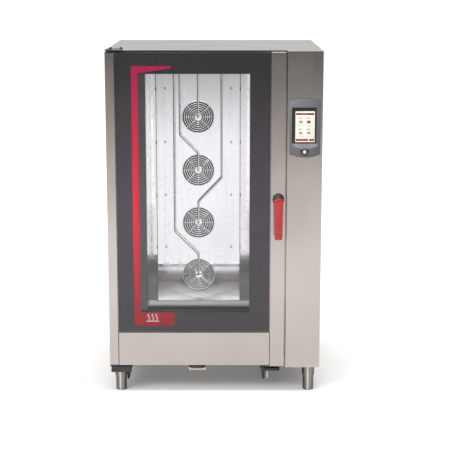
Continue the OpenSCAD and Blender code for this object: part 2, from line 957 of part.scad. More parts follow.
module door_light_bar() {
    bar_w = 37;
    color(dark_steel)
        span([window_x[0], window_x[0] + bar_w], [mask_y[1], pane_y[0] - 9],
            [window_z[0], window_z[1] + 12]);
}

module inner_glass() {
    color(clear_glass)
        span(pane_x, pane_y, [pane_z[0] + rail_side, pane_z[1]]);
}

// Channels along the pane's lower and upper edges, with the pivot pins
module inner_glass_rails() {
    rail_y = [pane_y[0] - rail_side, pane_y[1] + rail_side];
    top = pane_z[1] + 16;
    pin_l = 14;
    color(steel) {
        difference() {
            span(pane_x, rail_y, [pane_z[0], pane_z[0] + pane_rail_h]);
            span([pane_x[0] - 1, pane_x[1] + 1], pane_y,
                [pane_z[0] + rail_side, pane_z[0] + pane_rail_h + 1]);
        }
        difference() {
            span(pane_x, rail_y, [pane_z[1] - 8, top]);
            span([pane_x[0] - 1, pane_x[1] + 1], pane_y, [pane_z[1] - 9, pane_z[1]]);
        }
        translate([pane_pin_x, pane_pin_y, pane_z[0] - pin_l])
            cylinder(h = pin_l, r = pane_pin_r);
        translate([pane_pin_x, pane_pin_y, top])
            cylinder(h = pin_l, r = pane_pin_r);
    }
}

// ---------- handle and latch ----------

module handle_lever() {
    top = 4;
    tip_r = 6;
    neck_r = 13;
    color(red)
        union() {
            upright(lever_y)
                translate([handle_x, handle_z])
                    union() {
                        polygon([[-lever_top_w / 2, top], [lever_top_w / 2, top],
                            [lever_tip_w / 2, tip_r - lever_l], [-lever_tip_w / 2, tip_r - lever_l]]);
                        round_area([-lever_tip_w / 2, lever_tip_w / 2],
                            [-lever_l, 3 * tip_r - lever_l], tip_r);
                    }
            bar_y(handle_x, handle_z, neck_r, [lever_y[1], front_y - rosette_t]);
        }
}

// Rosette, spindle and hook turn with the lever
module handle_latch() {
    color(black)
        union() {
            bar_y(handle_x, handle_z, rosette_r, [front_y - rosette_t, front_y]);
            bar_y(handle_x, handle_z, spindle_r, [front_y, hook_y[1]]);
            upright(hook_y)
                translate([handle_x, handle_z])
                    union() {
                        circle(hook_hub_r);
                        area([0, hook_r], [-hook_half_h, hook_half_h]);
                    }
        }
}

module latch_keeper() {
    keeper_x = [handle_x + 16, column_x[0] - 2];
    keeper_z = handle_z + hook_half_h + keeper_gap;
    color(steel) {
        span(keeper_x, [plate_y - 4, plate_y], [keeper_z, keeper_z + 38]);
        span(keeper_x, [plate_y - 13, plate_y - 4], [keeper_z, keeper_z + 4]);
    }
}

// ---------- hinges ----------

module upper_hinge_plate() {
    plate_x = [left_x, left_x + 87];
    plate_t = 5;
    bolt_y = plate_y + 40;
    color(black)
        union() {
            span(plate_x, [front_y, plate_y + 80], [body_h, body_h + plate_t]);
            translate([hinge_x, hinge_y, door_z[1] - 24])
                cylinder(h = body_h - door_z[1] + 24, r = hinge_pin_r);
            translate([hinge_x, hinge_y, body_h + plate_t])
                cylinder(h = 5, r = 10);
            for (x = [plate_x[0] + 23, plate_x[1] - 8])
                translate([x, bolt_y, body_h + plate_t])
                    cylinder(h = 8, r = 7);
        }
}

module lower_hinge_bracket() {
    plate_x = [left_x + 7, left_x + 122];
    skirt_t = 5;
    skirt_h = 24;
    flange_h = 50;
    color(black)
        union() {
            span(plate_x, [front_y, plate_y], bracket_z);
            span(plate_x, [front_y, front_y + skirt_t], [bracket_z[0] - skirt_h, bracket_z[1]]);
            span(plate_x, [plate_y - 3, plate_y], [bracket_z[0], bracket_z[0] + flange_h]);
            translate([hinge_x, hinge_y, bracket_z[1]])
                cylinder(h = door_z[0] - bracket_z[1], r = 12);
            translate([hinge_x, hinge_y, bracket_z[1]])
                cylinder(h = door_z[0] - bracket_z[1] + 23, r = hinge_pin_r);
            bar_y(hinge_x - 3, bracket_z[0] - 10, 6, [front_y - 4, front_y + 1]);
        }
}

// ---------- water, steam and cable connections ----------

module drip_spout() {
    spout_x = [cavity_x + 107 - 146, cavity_x + 107 - 49];
    spout_y = [plate_y - 60, plate_y];
    spout_z = [foot_h - 22, foot_h - 6];
    wall = 3;
    color(dark_steel)
        difference() {
            union() {
                span(spout_x, spout_y, spout_z);
                span(spout_x, [plate_y - wall, plate_y], [spout_z[0], foot_h + 44]);
            }
            span([spout_x[0] + wall, spout_x[1] - wall], [spout_y[0] + wall, plate_y - wall],
                [spout_z[0] + wall, spout_z[1] + 1]);
            span([spout_x[0] + 4 * wall, spout_x[1] - 4 * wall], [spout_y[0] - 1, spout_y[0] + 2 * wall],
                [spout_z[1] - 6, spout_z[1] + 1]);
        }
}

module drain_strainer() {
    hole_r = 2.5;
    color(steel)
        translate([cavity_x, drain_y, cavity_floor_z - pan_depth + 0.01])
            linear_extrude(2)
                difference() {
                    circle(30);
                    for (ring = [8, 16], a = [0 : 45 : 315])
                        rotate(a)
                            translate([ring, 0])
                                circle(hole_r);
                }
}

module drain_pipe() {
    color(dark_steel)
        bent_outlet(cavity_x, drain_y, drain_z, cavity_floor_z - pan_depth - sheet, drain_r, sheet);
}

module exhaust_pipe() {
    color(steel)
        bent_outlet(exhaust_x, exhaust_y, exhaust_z, cavity_z[1] + sheet, exhaust_r, sheet);
}

module water_inlet_valve() {
    body = 40;
    color([0.75, 0.6, 0.3])
        difference() {
            union() {
                span([inlet_x - body / 2, inlet_x + body / 2], [back_y - 60, back_y - sheet],
                    [inlet_z - body / 2, inlet_z + body / 2]);
                bar_y(inlet_x, inlet_z, inlet_r, [back_y - sheet, back_y + 30]);
                translate([inlet_x, back_y - 30, inlet_z + body / 2])
                    cylinder(h = 45, r = 16);
            }
            bar_y(inlet_x, inlet_z, inlet_r - 4, [back_y - 20, back_y + 31]);
        }
}

module cable_gland() {
    nut_r = 20;
    color(black)
        difference() {
            union() {
                bar_y(gland_x, gland_z, 15, [back_y - 16, back_y + 10]);
                upright([back_y, back_y + 10])
                    translate([gland_x, gland_z])
                        circle(nut_r, $fn = 6);
                bar_y(gland_x, gland_z, 17, [back_y + 10, back_y + 30]);
                bar_y(gland_x, gland_z, nut_r, [back_y - 12, back_y - sheet]);
            }
            bar_y(gland_x, gland_z, gland_bore_r, [back_y - 17, back_y + 31]);
        }
}

base_frame();
foot_sleeves();
foot_leg_front_left();
foot_leg_front_right();
foot_leg_rear_left();
foot_leg_rear_right();
left_side_panel();
right_side_panel();
top_panel();
back_panel();
column_front();
cavity_front_plate();
door_gasket();
cavity_left_wall();
cavity_right_wall();
cavity_ceiling();
cavity_back_wall();
cavity_floor();
insulation();
fan_cover();
fan_grilles();
fan_cover_screws();
water_pipes();
heating_elements();
fan_motors();
fan_wheel_1();
fan_wheel_2();
fan_wheel_3();
fan_wheel_4();
control_bezel();
screen_glass();
display_module();
encoder_shaft();
selector_knob();
electrical_plate();
contactors();
latch_keeper();
upper_hinge_plate();
lower_hinge_bracket();
drip_spout();
trolley_guides();
guide_pins();
drain_strainer();
drain_pipe();
exhaust_pipe();
water_inlet_valve();
cable_gland();
door_hinge_stile();
door_handle_stile();
door_kick_panel();
door_inner_frame();
outer_glass();
glass_border();
red_trim();
door_light_bar();
hinge_bushes();
inner_glass();
inner_glass_rails();
handle_lever();
handle_latch();
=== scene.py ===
"""Looks of a roll-in combi steamer oven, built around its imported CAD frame. Units are metres."""

import json
import math

import bmesh
import bpy
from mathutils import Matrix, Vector


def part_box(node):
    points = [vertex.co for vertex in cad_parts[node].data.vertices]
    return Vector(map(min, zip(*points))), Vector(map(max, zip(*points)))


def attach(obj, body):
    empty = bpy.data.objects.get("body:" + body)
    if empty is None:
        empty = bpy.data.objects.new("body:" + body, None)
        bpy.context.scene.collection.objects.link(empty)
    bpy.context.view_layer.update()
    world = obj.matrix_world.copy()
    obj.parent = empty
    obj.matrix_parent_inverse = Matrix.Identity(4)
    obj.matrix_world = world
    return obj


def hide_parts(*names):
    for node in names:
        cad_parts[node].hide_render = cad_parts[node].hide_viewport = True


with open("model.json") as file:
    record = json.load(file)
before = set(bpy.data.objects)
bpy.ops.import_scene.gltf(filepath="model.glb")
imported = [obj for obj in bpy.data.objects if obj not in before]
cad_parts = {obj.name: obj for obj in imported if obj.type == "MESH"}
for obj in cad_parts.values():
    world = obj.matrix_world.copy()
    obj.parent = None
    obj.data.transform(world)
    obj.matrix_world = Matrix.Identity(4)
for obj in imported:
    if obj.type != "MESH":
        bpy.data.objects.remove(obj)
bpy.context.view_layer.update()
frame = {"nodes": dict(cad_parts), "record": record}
scene = bpy.context.scene

MM = 0.001
FRONT, BACK, UP = Vector((0, -1, 0)), Vector((0, 1, 0)), Vector((0, 0, 1))
CAVITY_X = -0.107  # middle of the oven cavity
FANS = range(1, 5)
SLOTS = {part["node"]: part["material_slot"] for part in frame["record"]["subparts"]}


# ---------- node helpers ----------


class Nodes:
    """Node tree of a material, a world or a light. A method that makes a value returns its socket."""

    def __init__(self, owner):
        owner.use_nodes = True
        self.tree = owner.node_tree
        self.tree.nodes.clear()

    def node(self, kind, **settings):
        made = self.tree.nodes.new("ShaderNode" + kind)
        for name, value in settings.items():
            setattr(made, name, value)
        return made

    def put(self, value, socket):
        """Links a socket into another one, or sets its value."""
        if isinstance(value, bpy.types.NodeSocket):
            self.tree.links.new(value, socket)
        elif socket.type == "RGBA" and len(value) == 3:
            socket.default_value = (*value, 1)
        else:
            socket.default_value = value

    def between(self, value, low, high, start=0.0, end=1.0, curve="LINEAR"):
        """Goes from low to high as value goes from start to end, and no further."""
        made = self.node("MapRange", interpolation_type=curve)
        self.put(value, made.inputs["Value"])
        for name, limit in (("From Min", start), ("From Max", end), ("To Min", low), ("To Max", high)):
            self.put(limit, made.inputs[name])
        return made.outputs["Result"]

    def math(self, operation, first, second=0.0):
        made = self.node("Math", operation=operation)
        self.put(first, made.inputs[0])
        self.put(second, made.inputs[1])
        return made.outputs[0]

    def part(self, vector, axis):
        made = self.node("SeparateXYZ")
        self.put(vector, made.inputs[0])
        return made.outputs[axis]

    def mix_numbers(self, factor, first, second):
        made = self.node("Mix", data_type="FLOAT")
        for value, place in ((factor, 0), (first, 2), (second, 3)):
            self.put(value, made.inputs[place])
        return made.outputs[0]

    def mix_shaders(self, factor, first, second):
        made = self.node("MixShader")
        for value, place in ((factor, 0), (first, 1), (second, 2)):
            self.put(value, made.inputs[place])
        return made.outputs[0]


class Shader(Nodes):
    """Nodes of one new material, with patterns that lie fixed on the object."""

    def __init__(self, name):
        self.material = bpy.data.materials.new(name)
        super().__init__(self.material)
        coordinates = self.node("TexCoord")
        self.place = coordinates.outputs["Object"]
        self.normal = coordinates.outputs["Normal"]

    def noise(self, scale, stretch=(1, 1, 1), detail=3.0):
        mapping = self.node("Mapping")
        mapping.inputs["Scale"].default_value = stretch
        self.put(self.place, mapping.inputs["Vector"])
        made = self.node("TexNoise")
        made.inputs["Scale"].default_value = scale
        made.inputs["Detail"].default_value = detail
        self.put(mapping.outputs["Vector"], made.inputs["Vector"])
        return made.outputs["Fac"]

    def mix(self, factor, first, second):
        made = self.node("Mix", data_type="RGBA")
        for value, place in ((factor, 0), (first, 6), (second, 7)):
            self.put(value, made.inputs[place])
        return made.outputs[2]

    def lay(self, tone, other, pattern, share, start, end):
        """Lays other over tone: nothing where pattern is start, and this share of it where it is end."""
        return self.mix(self.between(pattern, 0, share, start, end), tone, other)

    def bump(self, value, distance, strength=1.0, under=None):
        """Normal of a relief, on top of another normal if one is given."""
        made = self.node("Bump")
        made.inputs["Distance"].default_value = distance
        made.inputs["Strength"].default_value = strength
        self.put(value, made.inputs["Height"])
        if under is not None:
            self.put(under, made.inputs["Normal"])
        return made.outputs["Normal"]

    def surface(self, shader):
        self.put(shader, self.node("OutputMaterial").inputs["Surface"])
        return self.material

    def principled(self, **inputs):
        made = self.node("BsdfPrincipled")
        for name, value in inputs.items():
            self.put(value, made.inputs[name.replace("_", " ")])
        return self.surface(made.outputs["BSDF"])

    def metal(self, tone, roughness, normal, share=1.0):
        return self.principled(Base_Color=tone, Metallic=share, Roughness=roughness, Normal=normal)


def shade(colour, factor):
    return tuple(min(1.0, part * factor) for part in colour)


# ---------- kinds of material ----------


def brushed_steel(name, colour, stretch, roughness=0.2):
    """Brushed sheet. stretch is small along the grain and large across it."""
    made = Shader(name)
    coarse = made.noise(1, stretch, 6)
    fine = made.noise(7, stretch, 2)
    smudge = made.noise(2.3, detail=4)
    grain = made.math("ADD", made.math("MULTIPLY", coarse, 0.6), made.math("MULTIPLY", fine, 0.4))
    tone = made.lay(shade(colour, 0.93), shade(colour, 1.05), grain, 1, 0.3, 0.7)
    tone = made.lay(tone, shade(colour, 0.82), smudge, 0.25, 0.45, 0.75)
    rough = made.math("ADD", made.between(grain, roughness - 0.05, roughness + 0.06, 0.3, 0.7),
        made.between(smudge, -0.03, 0.06, 0.35, 0.7))
    return made.metal(tone, rough, made.bump(grain, 0.00002, 0.6))


def polished_steel(name, colour, roughness, wave):
    """Bright sheet with the slight waviness of thin metal, and dried water marks. wave is its depth."""
    made = Shader(name)
    waves = made.noise(5, (1, 1, 0.5), 1)
    marks = made.noise(38, detail=5)
    streak = made.noise(6, (9, 9, 0.7), 3)
    tone = made.lay(colour, shade(colour, 0.86), marks, 0.5, 0.55, 0.75)
    tone = made.lay(tone, shade(colour, 0.84), streak, 0.35, 0.5, 0.8)
    rough = made.math("ADD", made.between(marks, roughness - 0.02, roughness + 0.08, 0.4, 0.75),
        made.between(streak, 0, 0.06, 0.4, 0.7))
    return made.metal(tone, rough, made.bump(waves, wave))


def wall_sheet(name, colour, grey_below, dark_below):
    """Polished wall of the cavity, with painted reflection: a grey foot below one height and a dark one
    below another.
    """
    made = Shader(name)
    waves = made.noise(5, (1, 1, 0.5), 1)
    marks = made.noise(38, detail=5)
    height = made.part(made.place, "Z")
    tone = made.lay(colour, shade(colour, 0.86), marks, 0.5, 0.55, 0.75)
    # painted reflection: the wall is greyer below grey_below and dark below dark_below, in place of dark
    # reflections near the floor
    tone = made.lay(tone, shade(colour, 0.34), height, 1, grey_below + 0.02, grey_below - 0.01)
    tone = made.lay(tone, shade(colour, 0.10), height, 1, dark_below + 0.01, dark_below - 0.01)
    return made.metal(tone, made.between(marks, 0.06, 0.16, 0.4, 0.75), made.bump(waves, 0.0005))


def foot_tube(name, colour):
    """Turned steel leg with painted reflection: dark at both sides, with a painted highlight just left of
    the middle.
    """
    made = Shader(name)
    # where the painted highlight lies, as the normal's x
    highlight_at = -0.12
    grain = made.noise(1, LEVEL_GRAIN, 6)
    across = made.part(made.normal, "X")
    from_middle = made.math("ABSOLUTE", across)
    from_highlight = made.math("ABSOLUTE", made.math("SUBTRACT", across, highlight_at))
    # painted reflection: dark towards both sides, then a painted highlight just left of the middle
    tone = made.lay(colour, shade(colour, 0.22), from_middle, 1, 0.35, 0.9)
    tone = made.lay(tone, shade(colour, 2.6), from_highlight, 1, 0.2, 0.03)
    tone = made.lay(tone, shade(colour, 0.6), grain, 0.2, 0.3, 0.7)
    return made.metal(tone, made.between(grain, 0.18, 0.28, 0.3, 0.7), made.bump(grain, 0.00002))


def zinc_sheet(name, colour):
    """Galvanised sheet with its crystal pattern."""
    made = Shader(name)
    cells = made.node("TexVoronoi")
    cells.inputs["Scale"].default_value = 45
    made.put(made.place, cells.inputs["Vector"])
    flakes = made.between(cells.outputs["Distance"], 0, 1, 0, 0.9)
    clouds = made.noise(9, detail=5)
    tone = made.mix(flakes, shade(colour, 0.85), shade(colour, 1.12))
    tone = made.lay(tone, shade(colour, 0.75), clouds, 0.4, 0.4, 0.8)
    return made.metal(tone, made.between(clouds, 0.32, 0.5, 0.3, 0.7), made.bump(flakes, 0.0001), 0.9)


def tinted_tube(name, colour, shaded_side=None, metal=1.0):
    """Steel tube with darker clouds, and painted shade on its left side if a colour for it is given."""
    made = Shader(name)
    clouds = made.noise(14, (1, 1, 0.4), 3)
    tone = made.lay(colour, shade(colour, 0.75), clouds, 0.5, 0.45, 0.7)
    if shaded_side:
        # painted shade: the tube's left side takes the darker colour
        tone = made.lay(tone, shaded_side, made.part(made.normal, "X"), 1, 0.3, -0.25)
    return made.metal(tone, made.between(clouds, 0.2, 0.36, 0.3, 0.7), made.bump(clouds, 0.0001), metal)


def folded_pan(name, front, side, back):
    """Floor pan with painted light and shade: one tone on its front slope, one on its back slope and one
    on both side slopes.
    """
    made = Shader(name)
    meet_y = -0.198
    half_width, front_reach, back_reach = 0.335, 0.46, 0.19
    blur = 0.02
    x, y = made.part(made.place, "X"), made.part(made.place, "Y")
    across = made.math("ABSOLUTE", made.between(x, -1, 1, CAVITY_X - half_width, CAVITY_X + half_width))
    forward = made.between(y, 1, 0, meet_y - front_reach, meet_y)
    backward = made.between(y, 0, 1, meet_y, meet_y + back_reach)
    # painted light and shade: each slope takes the tone of how light falls on it, the slopes meeting at
    # meet_y
    tone = made.lay(side, front, made.math("SUBTRACT", forward, across), 1, -blur, blur)
    tone = made.lay(tone, back, made.math("SUBTRACT", backward, across), 1, -blur, blur)
    grain = made.noise(1, (300, 20, 20), 4)
    tone = made.lay(tone, shade(side, 0.8), grain, 0.3, 0.4, 0.7)
    return made.metal(tone, made.between(grain, 0.16, 0.26, 0.3, 0.7), made.bump(grain, 0.00003))


def moulded(name, colour, roughness, grain=420, depth=0.00008, coat=0.0):
    """Textured plastic, powder coat, nylon or paint. depth is that of its pores."""
    made = Shader(name)
    pores = made.noise(grain, detail=2)
    clouds = made.noise(6, detail=4)
    scuffs = made.noise(18, (1, 1, 3), 6)
    tone = made.lay(shade(colour, 0.9), shade(colour, 1.1), clouds, 1, 0.3, 0.7)
    tone = made.lay(tone, shade(colour, 1.35), scuffs, 0.35, 0.62, 0.8)
    rough = made.math("ADD", made.between(clouds, roughness - 0.04, roughness + 0.05, 0.3, 0.7),
        made.between(scuffs, 0, 0.08, 0.55, 0.8))
    return made.principled(Base_Color=tone, Roughness=rough, Coat_Weight=coat, Coat_Roughness=0.08,
        Normal=made.bump(pores, depth))


def crowned(name, colour, centre, half, rise):
    """Moulded cover that bulges towards its middle, with painted shade that darkens it to the right and
    towards its foot.

    centre and half are its middle and half its size, in x and z. rise is the height of the bulge.
    """
    made = Shader(name)
    pores = made.noise(380, detail=2)
    clouds = made.noise(6, detail=4)
    x, z = made.part(made.place, "X"), made.part(made.place, "Z")
    swell = 1.0
    for value, middle, reach in ((x, centre[0], half[0]), (z, centre[1], half[1])):
        away = made.math("ABSOLUTE", made.between(value, -1, 1, middle - reach, middle + reach))
        swell = made.math("SUBTRACT", swell, made.math("POWER", away, 2.5))
    left, foot = centre[0] - half[0], centre[1] - half[1]
    # painted shade: darker towards the foot and to the right
    tone = made.lay(shade(colour, 0.5), colour, z, 1, foot, foot + 2 * half[1])
    tone = made.lay(tone, shade(colour, 0.3), x, 0.4, left, left + 2 * half[0])
    tone = made.lay(tone, shade(colour, 0.8), clouds, 0.2, 0.3, 0.7)
    return made.principled(Base_Color=tone, Roughness=made.between(clouds, 0.3, 0.38, 0.3, 0.7),
        Coat_Weight=0.25, Coat_Roughness=0.15,
        Normal=made.bump(swell, rise, under=made.bump(pores, 0.00004)))


def chrome(name):
    made = Shader(name)
    marks = made.noise(90, detail=4)
    tone = made.lay((0.86, 0.86, 0.87), (0.7, 0.7, 0.71), marks, 0.4, 0.5, 0.8)
    return made.metal(tone, made.between(marks, 0.05, 0.14, 0.4, 0.8), made.bump(marks, 0.00001))


def clear_glass(name, tint):
    """Thin pane: it lets light straight through and mirrors more at a slant, with faint smears."""
    made = Shader(name)
    least_mirror, most_added = 0.024, 0.9
    smear = made.noise(5, (1, 1, 0.35), 5)
    through = made.node("BsdfTransparent")
    made.put(made.lay(tint, shade(tint, 0.95), smear, 0.6, 0.45, 0.8), through.inputs["Color"])
    mirror = made.node("BsdfGlossy")
    made.put((0.95, 0.97, 0.97), mirror.inputs["Color"])
    made.put(made.between(smear, 0, 0.05, 0.5, 0.8), mirror.inputs["Roughness"])
    angle = made.node("LayerWeight")
    angle.inputs["Blend"].default_value = 0.5
    slant = made.math("POWER", angle.outputs["Facing"], 5.0)
    share = made.math("ADD", made.math("MULTIPLY", slant, most_added), least_mirror)
    return made.surface(made.mix_shaders(share, through.outputs[0], mirror.outputs[0]))


def printed(name, low, middle, high):
    """Enamel print behind the glass, with three tones from foot to head that are painted light and shade,
    and a black back.
    """
    made = Shader(name)
    height = made.part(made.place, "Z")
    speck = made.noise(300, detail=2)
    # painted light and shade: the tone changes from foot to head with how light falls
    tone = made.lay(low, middle, height, 1, 0.4, 0.95)
    tone = made.lay(tone, high, height, 1, 1.1, 1.85)
    tone = made.lay(tone, (0.16, 0.12, 0.14), speck, 0.03, 0.5, 0.8)
    tone = made.lay(tone, (0.03, 0.03, 0.03), made.part(made.normal, "Y"), 1, 0.3, 0.5)
    return made.principled(Base_Color=tone, Roughness=made.between(speck, 0.35, 0.45, 0.3, 0.7),
        Specular_IOR_Level=0.2, Normal=made.bump(speck, 0.00002))


def lit(name, colour, strength):
    """Lit area of the display, with its pixel grid."""
    made = Shader(name)
    grid = made.noise(900, detail=1)
    tone = made.lay(shade(colour, 0.92), shade(colour, 1.04), grid, 1, 0.3, 0.7)
    return made.principled(Base_Color=shade(colour, 0.3), Roughness=made.between(grid, 0.15, 0.22),
        Emission_Color=tone, Emission_Strength=strength)


def wool(name, colour):
    made = Shader(name)
    fibres = made.noise(220, (1, 1, 3), 6)
    lumps = made.noise(16, detail=5)
    tone = made.lay(shade(colour, 0.75), colour, lumps, 1, 0.3, 0.7)
    tone = made.lay(tone, shade(colour, 0.6), fibres, 0.5, 0.5, 0.7)
    return made.principled(Base_Color=tone, Roughness=made.between(fibres, 0.85, 1.0),
        Normal=made.bump(fibres, 0.001))


# ---------- materials ----------

UPRIGHT_GRAIN, LEVEL_GRAIN = (700, 700, 3), (3, 3, 700)
SHEET_STEEL, BRIGHT_STEEL, WIRE_STEEL = (0.53, 0.485, 0.462), (0.84, 0.835, 0.83), (0.93, 0.93, 0.92)
BEZEL_MIDDLE, BEZEL_HALF, BEZEL_RISE = (0.489, 1.4875), (0.086, 0.162), 0.014
PALE_INK = (0.80, 0.74, 0.73)

MATERIALS = {
    "stainless": brushed_steel("stainless", SHEET_STEEL, UPRIGHT_GRAIN),
    "polished_steel": polished_steel("polished_steel", BRIGHT_STEEL, 0.08, 0.0005),
    "galvanised_steel": zinc_sheet("galvanised_steel", (0.50, 0.51, 0.52)),
    "pipe_steel": tinted_tube("pipe_steel", (0.42, 0.415, 0.41)),
    "black_metal": moulded("black_metal", (0.035, 0.035, 0.036), 0.42, 500),
    "black_plastic": moulded("black_plastic", (0.045, 0.045, 0.046), 0.38),
    "red_plastic": moulded("red_plastic", (0.48, 0.014, 0.014), 0.3, 260, 0.00003, 0.5),
    # red trim tones from foot to head: painted light and shade
    "red_print": printed("red_print",
        (0.34, 0.006, 0.014), (0.80, 0.008, 0.035), (0.40, 0.020, 0.080)),
    # bezel with painted shade to the right and towards its foot
    "bezel_plastic": crowned("bezel_plastic",
        (0.235, 0.235, 0.268), BEZEL_MIDDLE, BEZEL_HALF, BEZEL_RISE),
    "screen_black": moulded("screen_black", (0.012, 0.012, 0.013), 0.14, 60, 0.00002, 0.6),
    "display": lit("display", (0.86, 0.83, 0.74), 0.85),
    "chrome": chrome("chrome"),
    "white_nylon": moulded("white_nylon", (0.78, 0.77, 0.73), 0.4),
    "gasket_rubber": moulded("gasket_rubber", (0.028, 0.028, 0.03), 0.6, 300, 0.0001),
    "glass_clear": clear_glass("glass_clear", (0.988, 0.985, 0.995)),
    # glass border tones from foot to head: painted light and shade
    "glass_print": printed("glass_print",
        (0.050, 0.047, 0.050), (0.066, 0.048, 0.066), (0.034, 0.037, 0.036)),
    "mineral_wool": wool("mineral_wool", (0.72, 0.64, 0.42)),
    "motor_paint": moulded("motor_paint", (0.06, 0.062, 0.066), 0.4, 200, 0.0001, 0.2),
    "brass": polished_steel("brass", (0.70, 0.52, 0.24), 0.25, 0.0002),
}
level_steel = brushed_steel("stainless_level", SHEET_STEEL, LEVEL_GRAIN)
rail_steel = brushed_steel("rail_steel", (0.33, 0.325, 0.32), LEVEL_GRAIN, 0.16)
# painted shade: fan wheels near black for the shade behind the fan cover
fan_steel = brushed_steel("fan_steel", (0.045, 0.044, 0.042), (30, 30, 30), 0.3)
# heating elements dark partly from heat stain, partly as painted shade behind the fan cover
stain_and_shade_steel = brushed_steel("stain_and_shade_steel", (0.06, 0.058, 0.055), (20, 20, 20), 0.35)
mirror_steel = polished_steel("mirror_steel", (0.90, 0.895, 0.89), 0.03, 0.00012)
wire_steel = polished_steel("wire_steel", WIRE_STEEL, 0.22, 0.0001)
hub_steel = polished_steel("hub_steel", WIRE_STEEL, 0.16, 0.0001)
# cavity back wall, with its grey and dark foot painted as reflection
wall_steel = wall_sheet("wall_steel", BRIGHT_STEEL, 0.565, 0.405)
# pan tones for front, side and back slopes: painted light and shade
pan_steel = folded_pan("pan_steel", (0.13, 0.13, 0.125), (0.60, 0.60, 0.59), (0.80, 0.80, 0.79))
leg_steel = foot_tube("leg_steel", (0.24, 0.23, 0.21))
# water tubes with painted shade on their left side
water_tube = tinted_tube("water_tube", (0.86, 0.855, 0.845), (0.20, 0.195, 0.19), 0.5)
pad_plastic = moulded("pad_plastic", (0.31, 0.31, 0.34), 0.3, 300, 0.00003, 0.3)
# painted highlight: pale, not metal, face of the chrome knob
knob_highlight_face = moulded("knob_highlight_face", (0.86, 0.86, 0.87), 0.3, 90, 0.00001, 0.4)
pale_ink = printed("pale_ink", PALE_INK, PALE_INK, PALE_INK)
page_red = lit("page_red", (0.33, 0.02, 0.03), 0.9)
page_brown = lit("page_brown", (0.16, 0.03, 0.03), 0.9)
page_grey = lit("page_grey", (0.34, 0.36, 0.33), 0.85)
page_rose = lit("page_rose", (0.62, 0.36, 0.36), 0.85)


# ---------- mesh helpers ----------


def new_object(name, mesh):
    data = bpy.data.meshes.new(name)
    mesh.to_mesh(data)
    mesh.free()
    made = bpy.data.objects.new(name, data)
    scene.collection.objects.link(made)
    return made


def piece(name, mesh, body, slot, material=None):
    """A new piece of the object, from a bmesh in the frame of the CAD."""
    bmesh.ops.recalc_face_normals(mesh, faces=mesh.faces)
    made = new_object(name, mesh)
    made.data.materials.append(material or MATERIALS[slot])
    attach(made, body)
    return made


def round_edges(thing, width):
    """Rounds the sharp edges and keeps the faces flat."""
    sharp_from = 35  # degrees between two faces
    bevel = thing.modifiers.new("edges", "BEVEL")
    bevel.width = width
    bevel.segments = 2
    bevel.limit_method = "ANGLE"
    bevel.angle_limit = math.radians(sharp_from)
    bevel.harden_normals = False
    normals = thing.modifiers.new("normals", "WEIGHTED_NORMAL")
    normals.keep_sharp = True
    normals.weight = 80


def smooth(mesh):
    for face in mesh.faces:
        face.smooth = True
    return mesh


def turns(count):
    """Angles of evenly spaced points on a circle."""
    return [2 * math.pi * i / count for i in range(count)]


def outwards(angle):
    """Direction in the plane of the front, from +X towards +Z."""
    return Vector((math.cos(angle), 0, math.sin(angle)))


def slab(x, y, z, mesh=None):
    """Box between two limits along each axis."""
    made = mesh or bmesh.new()
    corners = [made.verts.new((a, b, c)) for a in x for b in y for c in z]
    for face in ((0, 1, 3, 2), (4, 6, 7, 5), (0, 4, 5, 1), (2, 3, 7, 6), (0, 2, 6, 4), (1, 5, 7, 3)):
        made.faces.new([corners[i] for i in face])
    return smooth(made)


def loft(rings, closed=True, mesh=None):
    """Skin over a list of rings of points, with flat caps if closed."""
    made = mesh or bmesh.new()
    rows = [[made.verts.new(point) for point in ring] for ring in rings]
    for low, high in zip(rows, rows[1:]):
        for i, corner in enumerate(low):
            j = (i + 1) % len(low)
            made.faces.new((corner, low[j], high[j], high[i]))
    if closed:
        made.faces.new(rows[0])
        made.faces.new(rows[-1][::-1])
    return smooth(made)


def lathe(centre, axis, profile, steps, mesh=None, closed=True):
    """Turned shape. profile lists (radius, distance along axis from centre)."""
    turn = UP.rotation_difference(Vector(axis)).to_matrix()
    rings = []
    for radius, along in profile:
        circle = [(radius * math.cos(angle), radius * math.sin(angle), along) for angle in turns(steps)]
        rings.append([Vector(centre) + turn @ Vector(point) for point in circle])
    return loft(rings, closed, mesh)


def prism(outline, y, mesh=None):
    """Outline of (x, z) points, from y[0] to y[1]."""
    made = mesh or bmesh.new()
    front = [made.verts.new((px, y[0], pz)) for px, pz in outline]
    back = [made.verts.new((px, y[1], pz)) for px, pz in outline]
    made.faces.new(front)
    made.faces.new(back[::-1])
    for i, corner in enumerate(front):
        j = (i + 1) % len(front)
        made.faces.new((corner, back[i], back[j], front[j]))
    return smooth(made)


def arc(x, z, radius, start, end, steps):
    """Points of an arc, angles in degrees from +X towards +Z."""
    angles = [math.radians(start + (end - start) * i / steps) for i in range(steps + 1)]
    return [(x + radius * math.cos(angle), z + radius * math.sin(angle)) for angle in angles]


def round_box(x, z, radius, steps=6):
    """Outline of a rectangle with round corners."""
    return (arc(x[1] - radius, z[1] - radius, radius, 0, 90, steps)
        + arc(x[0] + radius, z[1] - radius, radius, 90, 180, steps)
        + arc(x[0] + radius, z[0] + radius, radius, 180, 270, steps)
        + arc(x[1] - radius, z[0] + radius, radius, 270, 360, steps))


